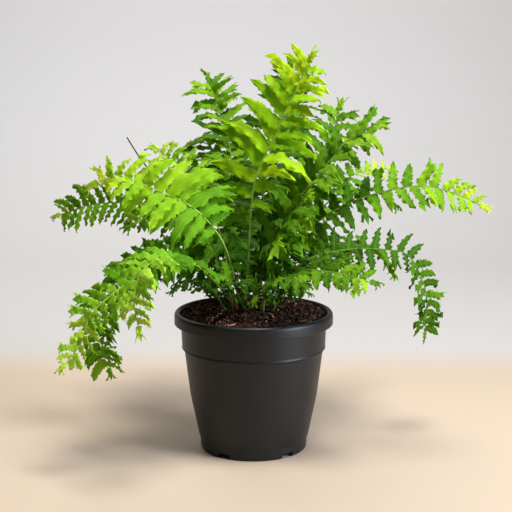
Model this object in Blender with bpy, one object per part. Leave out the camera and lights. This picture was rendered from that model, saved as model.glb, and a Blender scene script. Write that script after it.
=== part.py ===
# Potted fishtail fern: a black nursery pot, its soil, and a node for each frond.
# Metres, +Z up. The origin is the middle of the pot's underside, and the front faces -Y.

import math
import random

import bmesh
import bpy
from mathutils import Matrix, Vector
from mathutils.bvhtree import BVHTree

MM = 0.001

# Pot: the usual 17 cm nursery pot, 15 cm tall, moulded in one piece
SIDES = 32
POT_HEIGHT = 150 * MM
RIM_RADIUS = 85 * MM
RIM_DROP = 13 * MM
MOUTH_RADIUS = 78.5 * MM
BAND_TOP_RADIUS = 78 * MM
BAND_FOOT_RADIUS = 76.8 * MM
BAND_FOOT = 110 * MM
BODY_TOP_RADIUS = 74.6 * MM
BODY_MIDDLE_RADIUS = 68.6 * MM
BODY_MIDDLE = 60 * MM
BODY_FOOT_RADIUS = 59 * MM
FOOT_STEP = 13 * MM
FOOT_RADIUS = 57.4 * MM
WALL = 1.6 * MM
NOTCHES = 5
NOTCH_WIDTH = 14 * MM
NOTCH_HEIGHT = 5.5 * MM
NOTCH_DEPTH = 8 * MM
FIRST_NOTCH = math.radians(-51)
FLOOR_HOLES = 5
FLOOR_HOLE_RADIUS = 5 * MM
FLOOR_HOLE_RING = 34 * MM

# Soil: a dome that fills the pot to a few millimetres below its rim
FIT = 0.3 * MM
SOIL_EDGE = 145 * MM
SOIL_CROWN = 157 * MM
SOIL_LUMP = 1.2 * MM
SOIL_RINGS = (32 * MM, 62 * MM)

# Stalks
ROOT_DEPTH = 9 * MM
HOLE_RADIUS = 2.25 * MM
HOLE_REACH = 8 * MM  # how far the tool that drills the holes stands out above the soil
STALK_WIDTH = 2.0 * MM
STALK_THICK = 2.3 * MM
TIP_SHARE = 0.6
STALK_STEP = 26 * MM
SPLINE_STEPS = 400
START_STEPS = 4  # spline steps that give a stalk's direction in its hole
TANGENT_STEP = 2 * MM

# Leaflets
BLADE_THICK = 0.75 * MM
LEAFLET_SHARE = 0.63
SMALL_LEAFLET = 27 * MM
FORKED_SHARE = 0.32
START_HIGH = 0.3  # of its bend, that an arching leaflet starts above its line
OWN_WEIGHT = 0.9  # how far it bends straight down, and how far away from its upper face
FACE_WEIGHT = 0.35
CLOSING = 0.35  # how much closer the leaflets stand at the tip than at the foot
LEAN_GAIN = 22  # degrees that the leaflets at the tip lean forwards more than those at the foot
FOOT_SHARE = 0.6  # the first leaflet's share of the largest, and how fast the next ones grow
FOOT_GAIN = 1.6
TIP_POWER = 1.2  # how the leaflets shrink to the tip, and the least share of the width they keep
WIDTH_LEFT = 0.35
TIP_LENGTH = 18 * MM
TIP_NECK = 4 * MM
TIP_WIDTH_SHARE = 0.45
TIP_LEAFLET_SHARE = 0.5  # the most that the tip's blade has of the largest leaflet's length
TIP_TRIES = (1.0, 0.75, 0.5)
SEED = 7

# The random part of a leaflet: shares of its length and of its bend sideways, and degrees
CHANCES = dict(length=(0.86, 1.14), lean=(-4, 14), raised=(-4, 16), twist=(-34, -6), bend=(30, 88),
               sway=(-0.35, 0.35))

# Room that the test leaves around a blade, at its foot and around a stalk
BLADE_ROOM = 0.85 * MM
FOOT_ROOM = STALK_THICK / 2 + 0.3 * MM
STALK_ROOM = STALK_THICK / 2 + 0.45 * MM
SLAB_ROWS = 3  # stretches of a rib that are tested as one piece
TEST_GROWTH = 1.04
FOOT_INSET = 0.05

# Outlines of a leaflet as shares of its length and width, from the side nearer the pot.
# APEX is the corner that the outline's triangles fan out from.
BLUNT = ((0.30, -0.50), (0.84, -0.36), (1.00, 0.10), (0.42, 0.50))
FORKED = ((0.32, -0.48), (1.00, -0.47), (0.78, 0.02), (0.98, 0.45), (0.34, 0.50))
SMALL = ((0.42, -0.50), (1.00, 0.02), (0.40, 0.50))
FISHTAIL = ((0.30, -0.60), (0.95, -0.85), (0.66, -0.05), (1.00, 0.70), (0.32, 0.55))
APEX = {BLUNT: 3, FORKED: 2, SMALL: 2, FISHTAIL: 2}

# Ways that a leaflet may give way to what is already there: raised by so many degrees
# from the frond's plane, turned about its own rib, and shortened
GIVE_WAY = (
    (0, 0, 1.0), (14, 0, 1.0), (-14, 0, 1.0), (0, 25, 1.0), (28, 0, 1.0), (-28, 0, 1.0),
    (14, 25, 0.9), (-14, 25, 0.9), (42, 10, 0.9), (-42, 10, 0.9), (0, 0, 0.7),
    (25, 30, 0.7), (-25, 30, 0.7), (58, 0, 0.75), (-58, 0, 0.75),
    (0, 0, 0.5), (35, 30, 0.5), (-35, 30, 0.5),
)

# Each frond: its rib's route in millimetres, from the soil to the tip, then the largest
# leaflet's length and width, the pairs of leaflets, the bare share of the rib, how many
# degrees its upper face is turned to the front, the share of the rib up to which its
# leaflets stay full, how much of that is left at the tip, its leaf colour, and where it
# isn't as usual: how many degrees the upper row leans forwards, their share of the arch and
# of the forks.
FRONDS = {
    "frond_crown": dict(
        route=((-8, -4, 155), (-4, -16, 240), (2, -25, 295), (20, -30, 335), (37, -38, 375), (56, -47, 414)),
        leaf=(62, 14), pairs=12, bare=0.4, turn=86, full=0.4, tip=0.36, forks=0.4, tint="lime"),
    "frond_right_tall": dict(
        route=((4, 2, 155), (14, -16, 218), (34, -30, 261), (58, -40, 290), (78, -46, 316), (97, -50, 337),
               (121, -55, 347)),
        leaf=(44, 13), pairs=15, bare=0.12, turn=50, full=0.5, tip=0.6, lean=25, tint="leaf"),
    "frond_left_front": dict(
        route=((-14, -10, 155), (-28, -42, 223), (-46, -60, 255), (-66, -70, 274), (-100, -80, 291),
               (-132, -84, 304), (-154, -84, 296)),
        leaf=(52, 13), pairs=12, bare=0.42, turn=80, full=0.4, tip=0.26, lean=-45, forks=0.3, tint="lime"),
    "frond_right_long": dict(
        route=((14, -4, 155), (39, -22, 219), (69, -34, 253), (105, -44, 275), (161, -54, 290),
               (198, -60, 285), (228, -64, 272)),
        leaf=(30, 11), pairs=17, bare=0.1, turn=60, full=0.75, tip=0.36, arch=0.5, tint="tipped"),
    "frond_left_low": dict(
        route=((-32, -8, 155), (-54, -32, 200), (-91, -62, 214), (-124, -84, 198), (-160, -100, 169),
               (-170, -107, 141), (-186, -112, 120)),
        leaf=(29, 10), pairs=19, bare=0.1, turn=50, full=0.6, tip=0.5, tint="turning"),
    "frond_left_hanging": dict(
        route=((-36, 8, 155), (-68, 0, 204), (-108, -18, 207), (-140, -32, 180), (-161, -42, 146),
               (-160, -46, 123), (-151, -50, 98)),
        leaf=(28, 10), pairs=18, bare=0.1, turn=55, full=0.7, tip=1, tint="leaf"),
    "frond_front_left": dict(
        route=((-16, -24, 155), (-52, -78, 210), (-84, -118, 228), (-106, -145, 219), (-112, -158, 194),
               (-108, -165, 170)),
        leaf=(32, 10), pairs=15, bare=0.1, turn=10, full=0.6, tip=0.5, tint="turning"),
    "frond_left_long": dict(
        route=((-26, 4, 155), (-57, 10, 225), (-95, 18, 252), (-136, 28, 262), (-178, 36, 259),
                (-212, 41, 247)),
        leaf=(28, 8.5), pairs=18, bare=0.2, turn=65, full=0.88, tip=0.35, arch=0.6, forks=0.3, tint="leaf"),
    "frond_right_arch": dict(
        route=((24, 8, 155), (55, 12, 201), (101, 18, 213), (142, 24, 212), (170, 28, 203), (189, 32, 162),
               (189, 34, 117)),
        leaf=(25, 10), pairs=18, bare=0.1, turn=65, full=0.55, tip=0.9, arch=0.5, tint="deep"),
    "frond_tall_left": dict(
        route=((-16, 26, 155), (-22, 48, 262), (-27, 66, 324), (-40, 78, 364), (-49, 84, 390)),
        leaf=(43, 9), pairs=25, bare=0.16, turn=0, full=0.75, tip=0.6, forks=0.5, tint="leaf"),
    "frond_right_low": dict(
        route=((22, -16, 155), (42, -44, 199), (80, -72, 205), (102, -86, 202), (116, -93, 199)),
        leaf=(29, 11), pairs=10, bare=0.08, turn=35, full=0.6, tip=0.5, tint="leaf"),
    "frond_left_middle": dict(
        route=((-20, -16, 155), (-42, -24, 218), (-67, -36, 247), (-97, -48, 263), (-120, -58, 252)),
        leaf=(40, 11), pairs=12, bare=0.12, turn=30, full=0.5, tip=0.4, tint="leaf"),
    "frond_crown_back": dict(
        route=((0, 20, 155), (10, 28, 265), (23, 34, 340), (36, 40, 380), (39, 43, 402)),
        leaf=(42, 12), pairs=14, bare=0.1, turn=60, full=0.5, tip=0.45, tint="deep"),
    "frond_right_back": dict(
        route=((16, 18, 155), (51, 44, 239), (106, 74, 285), (136, 86, 292), (150, 91, 293)),
        leaf=(32, 10), pairs=15, bare=0.1, turn=40, full=0.5, tip=0.4, tint="tipped"),
    "frond_right_tall_back": dict(
        route=((8, 30, 155), (35, 50, 246), (72, 72, 307), (89, 83, 339), (95, 88, 359)),
        leaf=(42, 12.5), pairs=14, bare=0.1, turn=35, full=0.5, tip=0.65, tint="leaf"),
    "frond_left_back": dict(
        route=((-10, 32, 155), (-26, 56, 245), (-40, 78, 304), (-56, 94, 322), (-82, 115, 313)),
        leaf=(42, 11), pairs=14, bare=0.1, turn=30, full=0.5, tip=0.45, tint="leaf"),
    "frond_left_lime": dict(
        route=((-22, -2, 155), (-33, -4, 225), (-53, -6, 277), (-78, 0, 306), (-101, 10, 320)),
        leaf=(40, 11.5), pairs=17, bare=0.1, turn=75, full=0.4, tip=0.38, lean=-20, tint="turning"),
    "frond_centre_right": dict(
        route=((12, -15, 155), (18, -31, 215), (31, -43, 252), (50, -53, 275)),
        leaf=(50, 15), pairs=9, bare=0.26, turn=70, full=0.6, tip=0.6, forks=2, tint="leaf"),
    "frond_centre_left": dict(
        route=((-9, -27, 155), (-16, -42, 182), (-26, -56, 196), (-39, -66, 202)),
        leaf=(26, 10.5), pairs=7, bare=0.12, turn=30, full=0.5, tip=0.5, tint="deep"),
    "frond_front_short": dict(
        route=((6, -26, 155), (16, -50, 186), (32, -74, 200), (48, -92, 196)),
        leaf=(28, 11), pairs=7, bare=0.06, turn=20, full=0.5, tip=0.5, tint="deep"),
    "frond_back_right": dict(
        route=((6, 40, 155), (20, 75, 235), (35, 120, 280), (48, 170, 284), (58, 205, 264)),
        leaf=(40, 13), pairs=13, bare=0.06, turn=0, full=0.5, tip=0.45, tint="leaf"),
    "frond_back_left": dict(
        route=((-4, 44, 155), (-25, 82, 235), (-45, 130, 272), (-60, 180, 268), (-70, 215, 240)),
        leaf=(40, 13), pairs=13, bare=0.06, turn=0, full=0.5, tip=0.45, tint="leaf"),
    "frond_back_far_right": dict(
        route=((21, 27, 155), (56, 68, 225), (98, 112, 262), (140, 148, 262), (165, 168, 244)),
        leaf=(38, 12), pairs=13, bare=0.06, turn=15, full=0.5, tip=0.45, tint="deep"),
    "frond_back_far_left": dict(
        route=((-27, 31, 155), (-54, 72, 222), (-90, 110, 252), (-122, 140, 248), (-144, 160, 226)),
        leaf=(38, 12), pairs=12, bare=0.06, turn=15, full=0.5, tip=0.45, tint="deep"),
    "frond_side_left": dict(
        route=((-32, 22, 155), (-64, 48, 200), (-96, 76, 214), (-122, 98, 200)),
        leaf=(34, 12), pairs=10, bare=0.04, turn=10, full=0.5, tip=0.45, tint="leaf"),
    "frond_side_right": dict(
        route=((28, 18, 155), (66, 38, 200), (106, 62, 214), (138, 80, 200), (156, 90, 176)),
        leaf=(34, 12), pairs=12, bare=0.04, turn=10, full=0.5, tip=0.45, tint="leaf"),
    "frond_back_low": dict(
        route=((-1, 31, 155), (3, 80, 192), (6, 125, 205), (8, 165, 188), (10, 188, 158)),
        leaf=(32, 12), pairs=12, bare=0.04, turn=0, full=0.5, tip=0.45, tint="leaf"),
    "frond_back_low_right": dict(
        route=((18, 40, 155), (46, 76, 186), (78, 114, 198), (104, 142, 180), (116, 156, 152)),
        leaf=(30, 11), pairs=11, bare=0.04, turn=0, full=0.5, tip=0.45, tint="deep"),
    "frond_back_low_left": dict(
        route=((-19, 41, 155), (-42, 80, 186), (-66, 118, 195), (-86, 146, 176)),
        leaf=(30, 11), pairs=10, bare=0.04, turn=0, full=0.5, tip=0.45, tint="deep"),
    "frond_young_left": dict(
        route=((-28, -31, 155), (-44, -53, 186), (-62, -71, 196), (-78, -84, 189)),
        leaf=(22, 9), pairs=6, bare=0.08, turn=0, full=0.6, tip=0.5, tint="leaf"),
    "frond_young_front": dict(
        route=((10, -35, 155), (11, -44, 176), (8, -54, 185), (3, -63, 178)),
        leaf=(30, 11), pairs=2, bare=0.4, turn=30, full=0.8, tip=0.8, tint="leaf"),
    "frond_young_right": dict(
        route=((19, -31, 155), (31, -52, 181), (44, -66, 189), (54, -76, 185)),
        leaf=(19, 8), pairs=5, bare=0.12, turn=0, full=0.6, tip=0.5, tint="leaf"),
    "bare_stalk": dict(
        route=((-17, 10, 155), (-58, 26, 242), (-94, 34, 280), (-118, 38, 303), (-137, 42, 332)),
        leaf=(0, 0), pairs=0, bare=1, turn=0, full=0.5, tip=0.5, tint="stalk"),
}

COLOURS = {
    "pot": (0.012, 0.012, 0.013, 1.0),
    "soil": (0.030, 0.014, 0.008, 1.0),
    "lime": (0.330, 0.560, 0.020, 1.0),
    "turning": (0.220, 0.480, 0.022, 1.0),
    "tipped": (0.150, 0.400, 0.024, 1.0),
    "leaf": (0.120, 0.370, 0.025, 1.0),
    "deep": (0.050, 0.230, 0.030, 1.0),
    "stalk": (0.330, 0.330, 0.060, 1.0),
}
ROUGHNESS = {
    "pot": 0.45, "soil": 0.95,
    "lime": 0.50, "turning": 0.50, "tipped": 0.45, "leaf": 0.45, "deep": 0.45, "stalk": 0.55,
}


def clear_scene():
    for thing in list(bpy.data.objects):
        bpy.data.objects.remove(thing, do_unlink=True)


def finish_named(name):
    """The Principled material of one finish"""
    found = bpy.data.materials.get(name)
    if found:
        return found
    material = bpy.data.materials.new(name)
    material.use_nodes = True
    shader = material.node_tree.nodes["Principled BSDF"]
    shader.inputs["Base Color"].default_value = COLOURS[name]
    shader.inputs["Roughness"].default_value = ROUGHNESS[name]
    shader.inputs["Metallic"].default_value = 0.0
    return material


def object_from(bm, name, finish):
    mesh = bpy.data.meshes.new(name)
    bm.to_mesh(mesh)
    bm.free()
    thing = bpy.data.objects.new(name, mesh)
    bpy.context.scene.collection.objects.link(thing)
    mesh.materials.append(finish_named(finish))
    return thing


def turned(profile, sides):
    """A closed solid turned about Z from a profile that starts and ends on the axis"""
    bm = bmesh.new()
    points = [bm.verts.new((radius, 0.0, height)) for radius, height in profile]
    edges = [bm.edges.new(pair) for pair in zip(points, points[1:])]
    bmesh.ops.spin(bm, geom=points + edges, cent=(0, 0, 0), axis=(0, 0, 1), angle=math.tau,
                   steps=sides, use_merge=True, use_duplicate=False)
    bmesh.ops.remove_doubles(bm, verts=bm.verts, dist=0.01 * MM)
    bmesh.ops.recalc_face_normals(bm, faces=bm.faces)
    return bm


def smooth_shade(thing, degrees):
    thing.data.shade_smooth()
    thing.data.set_sharp_from_angle(angle=math.radians(degrees))


def cut(thing, cutter):
    """Keeps the cutter as a hidden guide and cuts it out of the thing"""
    cutter.hide_render = True
    cutter.display_type = "WIRE"
    modifier = thing.modifiers.new("Cut by " + cutter.name, "BOOLEAN")
    modifier.operation = "DIFFERENCE"
    modifier.solver = "EXACT"
    modifier.object = cutter


# The pot

def inner_radius(height):
    """Inside of the pot's wall at a height"""
    levels = ((0.0, FOOT_RADIUS), (FOOT_STEP, BODY_FOOT_RADIUS), (BODY_MIDDLE, BODY_MIDDLE_RADIUS),
              (BAND_FOOT - WALL, BODY_TOP_RADIUS), (BAND_FOOT + WALL, BAND_FOOT_RADIUS),
              (POT_HEIGHT - RIM_DROP, BAND_TOP_RADIUS),
              (POT_HEIGHT - 2 * MM, MOUTH_RADIUS + WALL))
    for (low, inside_low), (high, inside_high) in zip(levels, levels[1:]):
        if height <= high:
            share = (height - low) / (high - low)
            return inside_low + share * (inside_high - inside_low) - WALL
    return MOUTH_RADIUS


def make_pot():
    crest = (RIM_RADIUS + MOUTH_RADIUS) / 2
    skirt = POT_HEIGHT - RIM_DROP
    hollow = POT_HEIGHT - 2 * MM
    profile = [
        # the underside, then the outside with its step at the foot and its band below the rim
        (0.0, 0.0), (FOOT_RADIUS - 3 * MM, 0.0), (FOOT_RADIUS - 0.8 * MM, 0.9 * MM), (FOOT_RADIUS, 3 * MM),
        (FOOT_RADIUS + 0.5 * MM, FOOT_STEP - 0.8 * MM), (BODY_FOOT_RADIUS, FOOT_STEP + 0.4 * MM),
        (BODY_MIDDLE_RADIUS, BODY_MIDDLE), (BODY_TOP_RADIUS, BAND_FOOT - 0.6 * MM),
        (BAND_FOOT_RADIUS, BAND_FOOT + 0.8 * MM), (BAND_TOP_RADIUS, skirt),
        # the hollow behind the rim's skirt, then the skirt and the rounded crest
        (MOUTH_RADIUS + 0.9 * MM, POT_HEIGHT - 5 * MM), (crest - 1.2 * MM, hollow - 0.2 * MM),
        (RIM_RADIUS - 2.4 * MM, hollow - 1 * MM), (RIM_RADIUS - WALL, skirt), (RIM_RADIUS, skirt),
        (RIM_RADIUS - 0.3 * MM, POT_HEIGHT - 3.2 * MM), (RIM_RADIUS - 1.5 * MM, POT_HEIGHT - 0.9 * MM),
        (crest, POT_HEIGHT), (MOUTH_RADIUS + 1.1 * MM, POT_HEIGHT - 0.6 * MM),
        # the inside, down to the floor
        (MOUTH_RADIUS - 0.2 * MM, POT_HEIGHT - 2.2 * MM), (inner_radius(skirt), skirt),
        (inner_radius(BAND_FOOT + WALL), BAND_FOOT + WALL),
        (inner_radius(BAND_FOOT - WALL), BAND_FOOT - WALL),
        (inner_radius(BODY_MIDDLE), BODY_MIDDLE), (inner_radius(FOOT_STEP), FOOT_STEP),
        (FOOT_RADIUS - WALL, 4 * MM), (FOOT_RADIUS - WALL - 2 * MM, WALL),
        (0.0, WALL),
    ]
    pot = object_from(turned(profile, SIDES), "pot", "pot")
    bm = bmesh.new()
    for index in range(NOTCHES):
        turn = Matrix.Rotation(FIRST_NOTCH + index * math.tau / NOTCHES, 4, "Z")
        place = turn @ Matrix.Translation((FOOT_RADIUS, 0, 0))
        size = Matrix.Diagonal((2 * NOTCH_DEPTH, NOTCH_WIDTH, 2 * NOTCH_HEIGHT, 1))
        bmesh.ops.create_cube(bm, size=1.0, matrix=place @ size)
    for index in range(FLOOR_HOLES):
        turn = Matrix.Rotation(FIRST_NOTCH + (index + 0.5) * math.tau / FLOOR_HOLES, 4, "Z")
        bmesh.ops.create_cone(bm, cap_ends=True, segments=12, radius1=FLOOR_HOLE_RADIUS,
                              radius2=FLOOR_HOLE_RADIUS, depth=4 * WALL,
                              matrix=turn @ Matrix.Translation((FLOOR_HOLE_RING, 0, 0)))
    cut(pot, object_from(bm, "guide_drainage", "pot"))
    smooth_shade(pot, 35)
    return pot


# The soil

def soil_height(radius):
    share = min(1.0, radius / (inner_radius(SOIL_EDGE) - FIT))
    return SOIL_EDGE + (SOIL_CROWN - SOIL_EDGE) * (1 - share ** 2)


def make_soil(stalks):
    profile = [(0.0, WALL + FIT), (FOOT_RADIUS - WALL - 2 * MM - FIT, WALL + FIT),
               (inner_radius(FOOT_STEP) - 2 * FIT, FOOT_STEP),
               (inner_radius(BODY_MIDDLE) - FIT, BODY_MIDDLE)]
    profile += [(inner_radius(height) - FIT, height)
                for height in (BAND_FOOT - WALL, BAND_FOOT + 2 * WALL, POT_HEIGHT - RIM_DROP, SOIL_EDGE)]
    profile += [(radius, soil_height(radius)) for radius in reversed(SOIL_RINGS)]
    profile += [(0.0, SOIL_CROWN)]
    bm = turned(profile, SIDES)
    draw = random.Random(SEED)
    for vert in sorted(bm.verts, key=lambda v: (round(v.co.z, 5), round(v.co.x, 5), round(v.co.y, 5))):
        if math.hypot(vert.co.x, vert.co.y) < SOIL_RINGS[-1] + MM and vert.co.z > SOIL_EDGE:
            vert.co.z += draw.uniform(-SOIL_LUMP, SOIL_LUMP)
    soil = object_from(bm, "soil", "soil")
    holes = bmesh.new()
    for stalk in stalks:
        low = stalk.root - stalk.start * FIT
        axis = stalk.start.to_track_quat("Z", "Y").to_matrix().to_4x4()
        length = ROOT_DEPTH + HOLE_REACH
        bmesh.ops.create_cone(holes, cap_ends=True, segments=6, radius1=HOLE_RADIUS, radius2=HOLE_RADIUS,
                              depth=length, matrix=Matrix.Translation(low + stalk.start * length / 2) @ axis)
    cut(soil, object_from(holes, "guide_holes", "soil"))
    smooth_shade(soil, 30)
    return soil


# The fronds

def spline(points, share):
    """A point on the smooth curve through the points, at a share of its spans"""
    spans = len(points) - 1
    span = min(int(share * spans), spans - 1)
    t = share * spans - span
    p1 = points[span]
    p2 = points[span + 1]
    p0 = points[span - 1] if span else p1 * 2 - p2
    p3 = points[span + 2] if span + 2 <= spans else p2 * 2 - p1
    return 0.5 * (2 * p1 + (p2 - p0) * t + (2 * p0 - 5 * p1 + 4 * p2 - p3) * t ** 2
                  + (3 * p1 - p0 - 3 * p2 + p3) * t ** 3)


class Frond:
    """A frond's rib: stations along its route, each with its tangent, side and upper face"""

    def __init__(self, name, settings):
        self.name = name
        self.settings = settings
        route = [Vector(point) * MM for point in settings["route"]]
        fine = [spline(route, index / SPLINE_STEPS) for index in range(SPLINE_STEPS + 1)]
        reach = [0.0]
        for one, two in zip(fine, fine[1:]):
            reach.append(reach[-1] + (two - one).length)
        self.fine = fine
        self.reach = reach
        self.length = reach[-1]
        self.start = (fine[START_STEPS] - fine[0]).normalized()
        self.root = fine[0] - self.start * ROOT_DEPTH
        heading = Vector((route[-1].x - route[0].x, route[-1].y - route[0].y, 0)).normalized()
        self.right = Vector((heading.y, -heading.x, 0))
        self.turn = math.radians(settings["turn"]) * (1 if self.right.y < 0 else -1)
        self.pairs = round(settings["pairs"] * LEAFLET_SHARE)
        self.leafy_from = settings["bare"] * self.length
        self.stations = self.list_stations()
        self.frames = [self.frame_at(s) for s in self.stations]

    def list_stations(self):
        rows = max(1, round(self.leafy_from / STALK_STEP))
        stations = [-ROOT_DEPTH] + [self.leafy_from * row / rows for row in range(rows + 1)]
        self.first_leaflet = len(stations) - 1
        if self.pairs:
            leafy = self.length - TIP_NECK - self.leafy_from
            shares = [(row + 1) / (2 * self.pairs) for row in range(2 * self.pairs)]
            closed = [share + CLOSING * share * (1 - share) for share in shares]
            stations += [self.leafy_from + leafy * share for share in closed]
            stations.append(self.length)
        return stations

    def point_at(self, along):
        if along <= 0:
            return self.fine[0] + self.start * along
        for index in range(1, len(self.reach)):
            if self.reach[index] >= along - 1e-9:
                share = (along - self.reach[index - 1]) / (self.reach[index] - self.reach[index - 1])
                return self.fine[index - 1].lerp(self.fine[index], share)
        return self.fine[-1]

    def frame_at(self, along):
        centre = self.point_at(along)
        before = self.point_at(along - TANGENT_STEP)
        after = self.point_at(min(along + TANGENT_STEP, self.length))
        ahead = (after - before).normalized()
        side = (self.right - ahead * self.right.dot(ahead)).normalized()
        turned_side = Matrix.Rotation(self.turn, 3, ahead) @ side
        return centre, ahead, turned_side, turned_side.cross(ahead)

    def stalk_share(self, index):
        share = max(0.0, self.stations[index]) / self.length
        return 1 - (1 - TIP_SHARE) * share

    def leaflet_size(self, along):
        """Length and width: smaller near the stalk, then full, then less and less up to the tip"""
        share = (along - self.leafy_from) / (self.length - self.leafy_from)
        full = self.settings["full"]
        lost = (1 - self.settings["tip"]) * max(0.0, (share - full) / (1 - full)) ** TIP_POWER
        grown = min(1.0, FOOT_SHARE + FOOT_GAIN * share) * (1 - lost)
        length, width = self.settings["leaf"]
        return length * MM * grown, width * MM * (WIDTH_LEFT + (1 - WIDTH_LEFT) * grown)


class Leaflet:
    """A blade that grows from a stretch of the rib and arches over under its own weight"""

    def __init__(self, root, axes, size, chance, outline):
        out, across, normal = axes
        down = Vector((0, 0, -1))
        sag = (down - out * out.dot(down)) * OWN_WEIGHT - normal * FACE_WEIGHT + across * chance["sway"]
        sag.normalize()
        self.bend = math.radians(chance["bend"])
        start = Matrix.Rotation(-self.bend * START_HIGH, 3, out.cross(sag))
        self.out = start @ out
        self.sag = start @ sag
        self.across = start @ across
        self.normal = start @ normal
        self.root = root
        self.length, self.width = size
        self.outline = outline
        self.corners = []
        self.lifts = []
        for along, wide in outline:
            middle, side, lift = self.frame_at(along)
            self.corners.append(middle + side * wide * self.width)
            self.lifts.append(lift)

    def frame_at(self, along):
        """Middle, side and upward direction at a share of its length, on the arc that it follows"""
        angle = self.bend * along
        reach = self.length / self.bend
        middle = self.root + reach * (self.out * math.sin(angle) + self.sag * (1 - math.cos(angle)))
        turn = Matrix.Rotation(angle, 3, self.out.cross(self.sag))
        return middle, turn @ self.across, turn @ self.normal


def draw_chance(draw, frond):
    """The random part of a leaflet, the same however it gives way"""
    chance = {name: draw.uniform(low, high) for name, (low, high) in CHANCES.items()}
    chance["bend"] *= frond.settings.get("arch", 1)
    forked_share = FORKED_SHARE * frond.settings.get("forks", 1)
    chance["outline"] = FORKED if draw.random() < forked_share else BLUNT
    return chance


def leaflet_on(frond, index, side, chance, give):
    """A leaflet on the interval after a station, side 1 on the right of the rib and -1 on its left"""
    raised, twisted, shortened = give
    centre, ahead, right, up = frond.frames[index]
    following = frond.frames[index + 1][0]
    length, width = frond.leaflet_size(frond.stations[index])
    length *= shortened * chance["length"]
    lean = chance["lean"] + LEAN_GAIN * frond.stations[index] / frond.length
    if side * right.z > 0:
        lean += frond.settings.get("lean", 0)
    lean = math.radians(lean)
    raise_by = math.radians(chance["raised"] + raised)
    out = (right * side * math.cos(lean) + ahead * math.sin(lean)).normalized()
    out = (out * math.cos(raise_by) + up * math.sin(raise_by)).normalized()
    across = (ahead - out * ahead.dot(out)).normalized()
    normal = across.cross(out) * side
    if normal.dot(up) < 0:
        normal = -normal
    twist = Matrix.Rotation(math.radians(chance["twist"] + twisted) * side, 3, out)
    outline = chance["outline"]
    if length < SMALL_LEAFLET and outline is BLUNT:
        outline = SMALL
    return Leaflet((centre + following) / 2, (out, twist @ across, twist @ normal), (length, width),
                   chance, outline)


def tip_on(frond, shortened, chance):
    """The forked blade that ends a frond"""
    centre, ahead, right, up = frond.frames[-1]
    length = min(TIP_LENGTH, frond.settings["leaf"][0] * TIP_LEAFLET_SHARE * MM) * shortened
    return Leaflet(centre, (ahead, right, up), (length, length * TIP_WIDTH_SHARE), chance, FISHTAIL)


class Slab:
    """A slightly thicker copy of a piece, kept to test that others stay clear of it"""

    def __init__(self, verts, faces):
        self.tree = BVHTree.FromPolygons(verts, faces)
        self.centre = sum(verts, Vector()) / len(verts)
        self.radius = max((vert - self.centre).length for vert in verts)

    def meets(self, other):
        if (self.centre - other.centre).length > self.radius + other.radius:
            return False
        return bool(self.tree.overlap(other.tree))


def fan(apex, count):
    """Triangles from a corner of a ring, which starts and ends on the rib, to its other edges"""
    order = [(apex + step) % count for step in range(count)]
    return [(order[0], order[step], order[step + 1]) for step in range(1, count - 1)]


def leaflet_slab(base, leaflet):
    middle = sum(leaflet.corners, Vector()) / len(leaflet.corners)
    foot = [point.lerp(middle, FOOT_INSET) for point in base]
    grown = [middle + (corner - middle) * TEST_GROWTH for corner in leaflet.corners]
    ring = [foot[0]] + grown + [foot[1]]
    foot_lift = leaflet.normal * FOOT_ROOM
    lifts = [foot_lift] + [lift * BLADE_ROOM for lift in leaflet.lifts] + [foot_lift]
    count = len(ring)
    verts = [point + lift for point, lift in zip(ring, lifts)]
    verts += [point - lift for point, lift in zip(ring, lifts)]
    top = fan(APEX[leaflet.outline] + 1, count)
    faces = top + [(c + count, b + count, a + count) for a, b, c in top]
    for index in range(count):
        after = (index + 1) % count
        faces.append((index, index + count, after + count, after))
    return Slab(verts, faces)


def rib_slabs(frond):
    """The rib in stretches of a few stations"""
    slabs = []
    for first in range(0, len(frond.frames) - 1, SLAB_ROWS):
        rings = frond.frames[first:first + SLAB_ROWS + 1]
        verts = []
        faces = []
        for centre, ahead, right, up in rings:
            side = right * STALK_ROOM
            lift = up * STALK_ROOM
            verts += [centre + side + lift, centre - side + lift, centre - side - lift, centre + side - lift]
        for ring in range(len(rings) - 1):
            for corner in range(4):
                here = ring * 4 + corner
                beside = ring * 4 + (corner + 1) % 4
                faces.append((here, beside, beside + 4, here + 4))
        slabs.append(Slab(verts, faces))
    return slabs


def mesh_slab(thing):
    verts = [vert.co.copy() for vert in thing.data.vertices]
    return Slab(verts, [tuple(face.vertices) for face in thing.data.polygons])


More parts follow.
